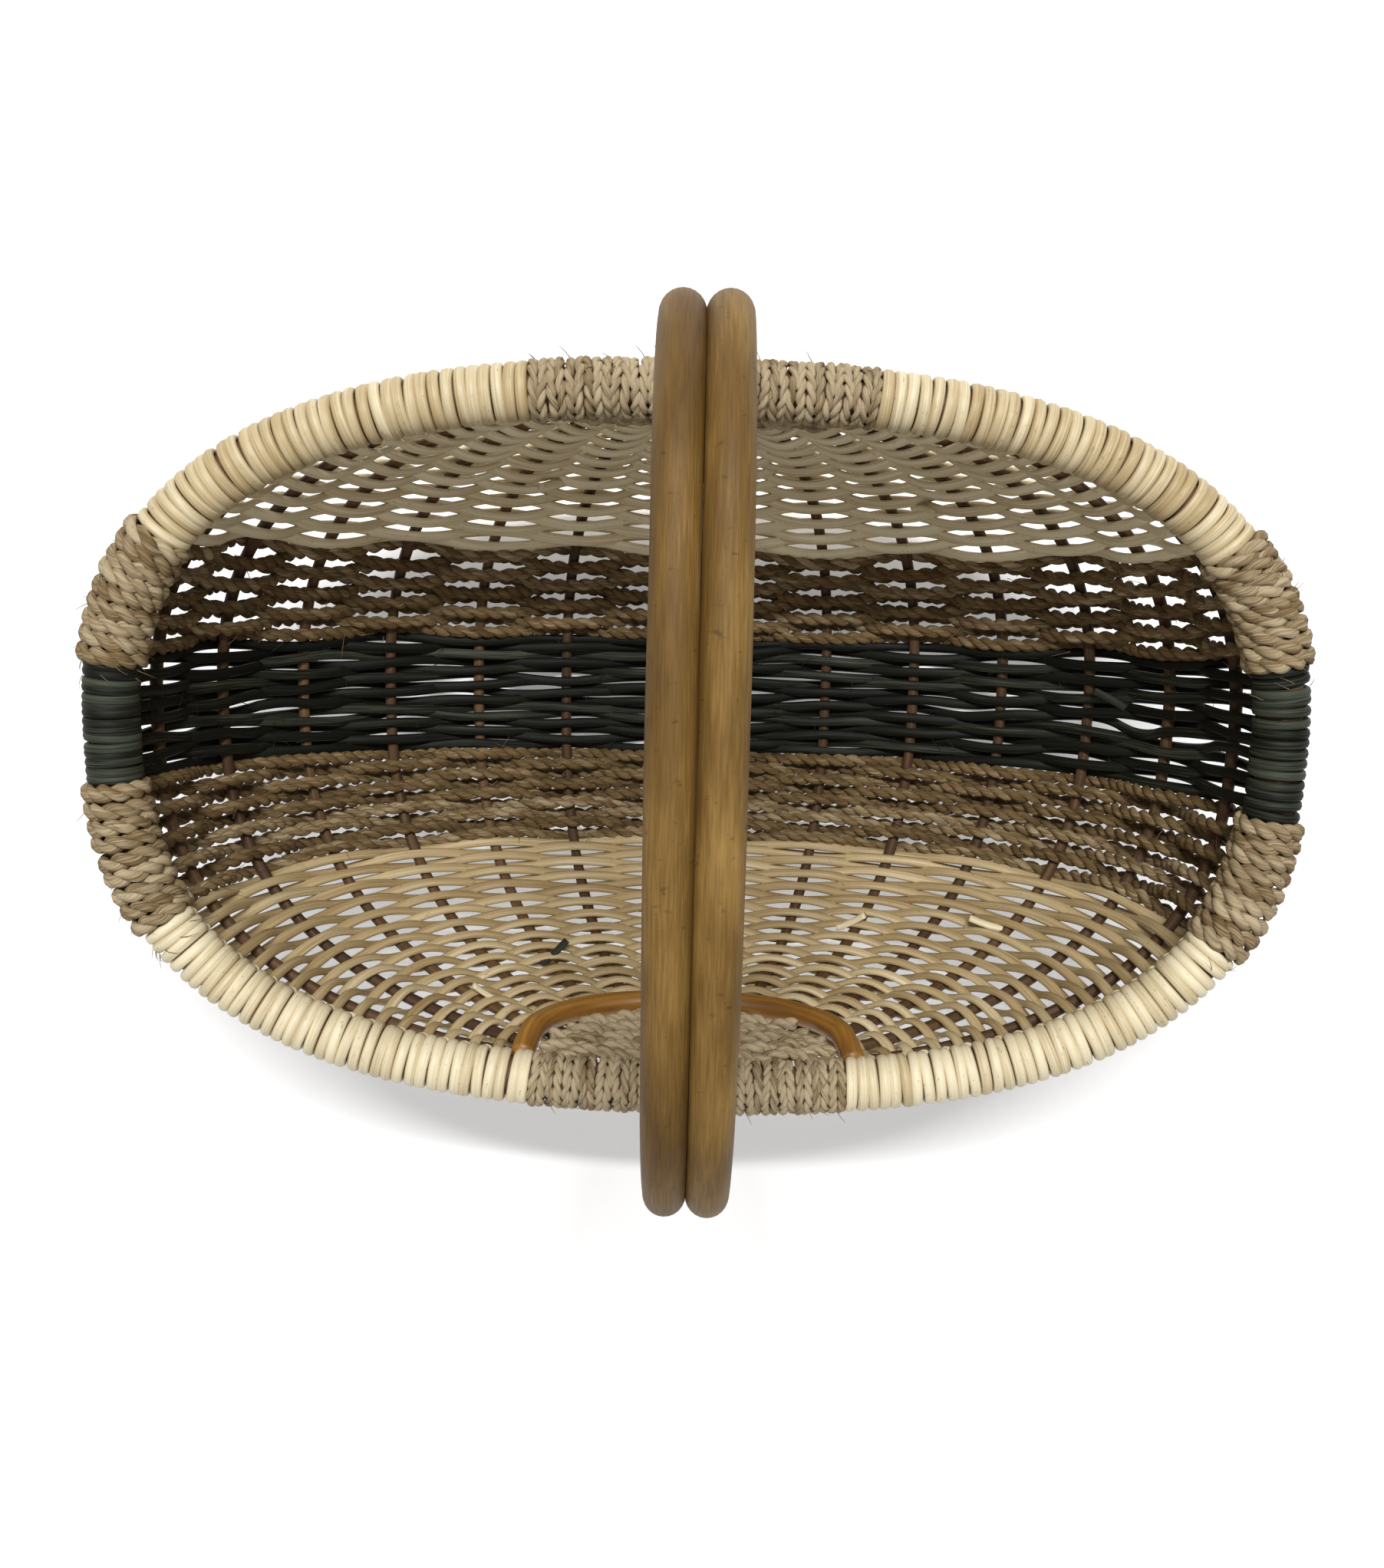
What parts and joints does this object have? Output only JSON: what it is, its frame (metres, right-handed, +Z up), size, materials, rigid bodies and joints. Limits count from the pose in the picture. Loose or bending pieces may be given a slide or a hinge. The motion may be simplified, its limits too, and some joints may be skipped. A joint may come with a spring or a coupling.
{
  "type": "woven market basket",
  "caption": "Oval ribbed market basket woven in cane, seagrass and dark reed bands, with a tall arched double-rod handle.",
  "frame": {"origin": "on the floor under the middle of the flat base, which is under the middle of the rim's length and width", "axes": "+X along the basket's length, +Y across it towards the ear that the handle's crown leans over, +Z up through the handle"},
  "size_m": [0.5009, 0.3193, 0.3684],
  "materials": {
    "handle_cane": "satin",
    "pole_cane": "satin",
    "rib_cane": "matt",
    "loop_cane": "varnished",
    "pale_cane": "satin",
    "seagrass": "matt",
    "dyed_reed": "satin"
  },
  "bodies": {
    "root": {"rim_pole": "pole_cane", "rim_wrap_reed_right": "dyed_reed", "rim_wrap_reed_left": "dyed_reed", "rim_wrap_rope_far_right": "seagrass", "rim_wrap_cane_far_right": "pale_cane", "rim_wrap_rope_far_left": "seagrass", "rim_wrap_cane_far_left": "pale_cane", "rim_wrap_ear_far": "seagrass", "rim_wrap_rope_near_right": "seagrass", "rim_wrap_cane_near_right": "seagrass", "rim_wrap_rope_near_left": "seagrass", "rim_wrap_cane_near_left": "seagrass", "rim_wrap_ear_near": "seagrass", "rib_01": "rib_cane", "rib_02": "rib_cane", "rib_03": "rib_cane", "rib_04": "rib_cane", "rib_05": "rib_cane", "rib_06": "rib_cane", "rib_07": "rib_cane", "rib_08": "rib_cane", "rib_09": "rib_cane", "rib_10": "rib_cane", "rib_11": "rib_cane", "rib_12": "rib_cane", "rib_13": "rib_cane", "rib_14": "rib_cane", "weave_reed": "dyed_reed", "weave_rope_near": "seagrass", "weave_rope_far": "seagrass", "weave_cane_near": "seagrass", "weave_cane_far": "pale_cane", "ear_loop_near": "loop_cane", "ear_weave_near": "seagrass", "ear_loop_far": "loop_cane", "ear_weave_far": "seagrass", "handle_rod_left": "handle_cane", "handle_rod_right": "handle_cane"}
  },
  "joints": []
}
